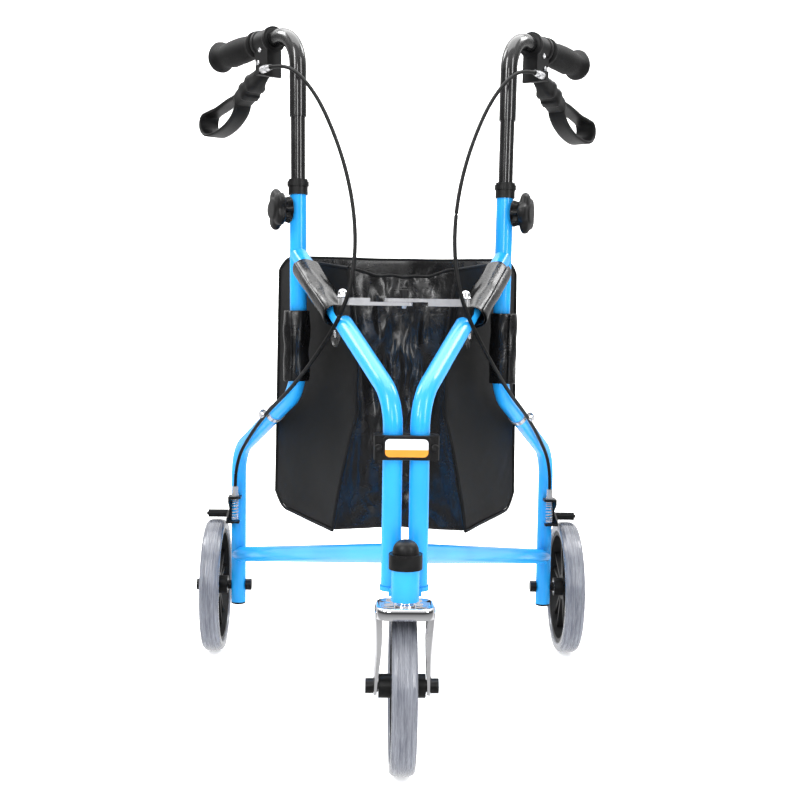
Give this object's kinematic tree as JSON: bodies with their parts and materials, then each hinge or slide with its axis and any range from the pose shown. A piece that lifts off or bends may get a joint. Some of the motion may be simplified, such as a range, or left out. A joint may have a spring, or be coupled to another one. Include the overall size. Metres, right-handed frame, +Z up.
{
  "type": "rollator walker",
  "caption": "Folding rollator walker on small wheels, with splayed tubular side frames, a steering fork, height-adjustable handles with loop brake levers, and a hanging bag.",
  "frame": {"origin": "on the floor, midway between the front and rear axles on the centre line", "axes": "+Z up, +X to the user's left, -Y forwards (the steered wheel is at -Y)"},
  "size_m": [0.599, 0.682, 0.9002],
  "materials": {
    "blue_paint": "gloss sky blue enamel",
    "black_paint": "gloss black powder coat",
    "black_plastic": "moulded satin black",
    "black_rubber": "matte moulded rubber",
    "cable_sheath": "black extruded sheath",
    "black_steel": "black zinc",
    "bright_steel": "bright zinc plated",
    "chrome": "chrome plated",
    "grey_tyre": "translucent grey polyurethane",
    "bag_vinyl": "black vinyl coated cloth"
  },
  "bodies": {
    "steering_head": {"head_tube": "blue_paint", "head_cap": "black_plastic", "hinge_pins": "bright_steel", "clamp_halves": "black_plastic", "clamp_screws": "bright_steel", "bag": "bag_vinyl"},
    "fork": {"fork": "chrome", "fork_axle": "black_steel"},
    "front_wheel": {"front_tyre": "grey_tyre", "front_rim": "black_plastic", "front_bearings": "bright_steel"},
    "latch": {"latch_knob": "black_plastic"},
    "left_crossbar": {"left_brace": "bright_steel"},
    "right_crossbar": {"right_brace": "bright_steel"},
    "left_frame": {"left_upright_tube": "blue_paint", "left_front_tube": "blue_paint", "left_lower_stay": "blue_paint", "left_clamp_collar": "black_plastic", "left_leg_plug": "black_plastic", "left_cable": "cable_sheath", "left_p_clip": "bright_steel", "left_brake_bracket": "black_steel", "left_lower_barrel": "bright_steel", "left_brake_spring": "bright_steel", "left_axle": "black_steel", "left_bar_bracket": "black_steel"},
    "left_handle": {"left_handle_tube": "black_paint", "left_grip": "black_rubber", "left_brake_housing": "black_plastic", "left_top_barrel": "bright_steel"},
    "left_lever": {"left_brake_lever": "black_plastic"},
    "left_knob": {"left_height_knob": "black_plastic"},
    "left_brake": {"left_brake_arm": "black_steel", "left_brake_shoe": "black_rubber"},
    "left_wheel": {"left_tyre": "grey_tyre", "left_rim": "black_plastic", "left_bearings": "bright_steel"},
    "right_frame": {"right_upright_tube": "blue_paint", "right_front_tube": "blue_paint", "right_lower_stay": "blue_paint", "right_clamp_collar": "black_plastic", "right_leg_plug": "black_plastic", "right_cable": "cable_sheath", "right_p_clip": "bright_steel", "right_brake_bracket": "black_steel", "right_lower_barrel": "bright_steel", "right_brake_spring": "bright_steel", "right_axle": "black_steel", "right_bar_bracket": "black_steel"},
    "right_handle": {"right_handle_tube": "black_paint", "right_grip": "black_rubber", "right_brake_housing": "black_plastic", "right_top_barrel": "bright_steel"},
    "right_lever": {"right_brake_lever": "black_plastic"},
    "right_knob": {"right_height_knob": "black_plastic"},
    "right_brake": {"right_brake_arm": "black_steel", "right_brake_shoe": "black_rubber"},
    "right_wheel": {"right_tyre": "grey_tyre", "right_rim": "black_plastic", "right_bearings": "bright_steel"}
  },
  "joints": [
    {"name": "steer", "type": "hinge", "parent": "steering_head", "child": "fork", "pos_m": [0, -0.29317, 0.208], "axis": [0, 0, 1], "continuous": true},
    {"name": "front_wheel_spin", "type": "hinge", "parent": "fork", "child": "front_wheel", "pos_m": [0, -0.241, 0.1], "axis": [1, 0, 0], "continuous": true},
    {"name": "fold_left", "type": "hinge", "parent": "steering_head", "child": "left_frame", "pos_m": [0.015, -0.26117, 0.3], "axis": [0, 0, 1], "range_deg": [0, 18], "deforming": ["bag"]},
    {"name": "fold_right", "type": "hinge", "parent": "steering_head", "child": "right_frame", "pos_m": [-0.015, -0.26117, 0.3], "axis": [0, 0, 1], "range_deg": [-18, 0]},
    {"name": "left_bar_turn", "type": "hinge", "parent": "left_frame", "child": "left_crossbar", "pos_m": [0.07425, -0.12554, 0.5365], "axis": [0, 0, 1], "range_deg": [0, 48.8]},
    {"name": "right_bar_turn", "type": "hinge", "parent": "right_frame", "child": "right_crossbar", "pos_m": [-0.07425, -0.12554, 0.5365], "axis": [0, 0, 1], "range_deg": [-48.8, 0]},
    {"name": "latch_pull", "type": "slide", "parent": "left_crossbar", "child": "latch", "axis": [0, 0, 1], "range_m": [0, 0.007], "stiffness_N_per_m": 150, "springref_m": -0.004},
    {"name": "left_height", "type": "slide", "parent": "left_frame", "child": "left_handle", "axis": [0.0115, 0.0264, 0.9996], "range_m": [-0.072, 0.045], "deforming": ["left_cable"]},
    {"name": "left_knob_turn", "type": "hinge", "parent": "left_frame", "child": "left_knob", "pos_m": [0.16332, 0.00338, 0.65401], "axis": [0.9164, -0.4003, 0], "range_deg": [0, 360]},
    {"name": "left_brake_squeeze", "type": "hinge", "parent": "left_handle", "child": "left_lever", "pos_m": [0.18519, 0.08788, 0.85461], "axis": [0.8191, -0.5736, 0.0057], "range_deg": [0, 14], "stiffness_Nm_per_rad": 2, "springref_deg": -20.05},
    {"name": "left_brake_press", "type": "hinge", "parent": "left_frame", "child": "left_brake", "pos_m": [0.24839, 0.237, 0.20769], "axis": [-1, 0, 0], "range_deg": [0, 6], "deforming": ["left_brake_spring"]},
    {"name": "left_wheel_spin", "type": "hinge", "parent": "left_frame", "child": "left_wheel", "pos_m": [0.2686, 0.241, 0.1], "axis": [1, 0, 0], "continuous": true},
    {"name": "right_height", "type": "slide", "parent": "right_frame", "child": "right_handle", "axis": [-0.0115, 0.0264, 0.9996], "range_m": [-0.072, 0.045], "deforming": ["right_cable"]},
    {"name": "right_knob_turn", "type": "hinge", "parent": "right_frame", "child": "right_knob", "pos_m": [-0.16332, 0.00338, 0.65401], "axis": [0.9164, 0.4003, 0], "range_deg": [0, 360]},
    {"name": "right_brake_squeeze", "type": "hinge", "parent": "right_handle", "child": "right_lever", "pos_m": [-0.18519, 0.08788, 0.85461], "axis": [0.8191, 0.5736, -0.0057], "range_deg": [0, 14], "stiffness_Nm_per_rad": 2, "springref_deg": -20.05},
    {"name": "right_brake_press", "type": "hinge", "parent": "right_frame", "child": "right_brake", "pos_m": [-0.24839, 0.237, 0.20769], "axis": [-1, 0, 0], "range_deg": [0, 6], "deforming": ["right_brake_spring"]},
    {"name": "right_wheel_spin", "type": "hinge", "parent": "right_frame", "child": "right_wheel", "pos_m": [-0.2686, 0.241, 0.1], "axis": [1, 0, 0], "continuous": true}
  ],
  "couplings": [
    {"joint": "fold_right", "follows": "fold_left", "ratio": -1},
    {"joint": "left_bar_turn", "follows": "fold_left", "ratio": 2.7111},
    {"joint": "right_bar_turn", "follows": "fold_left", "ratio": -2.7111},
    {"joint": "left_brake_press", "follows": "left_brake_squeeze", "ratio": 0.42857},
    {"joint": "right_brake_press", "follows": "right_brake_squeeze", "ratio": 0.42857}
  ]
}
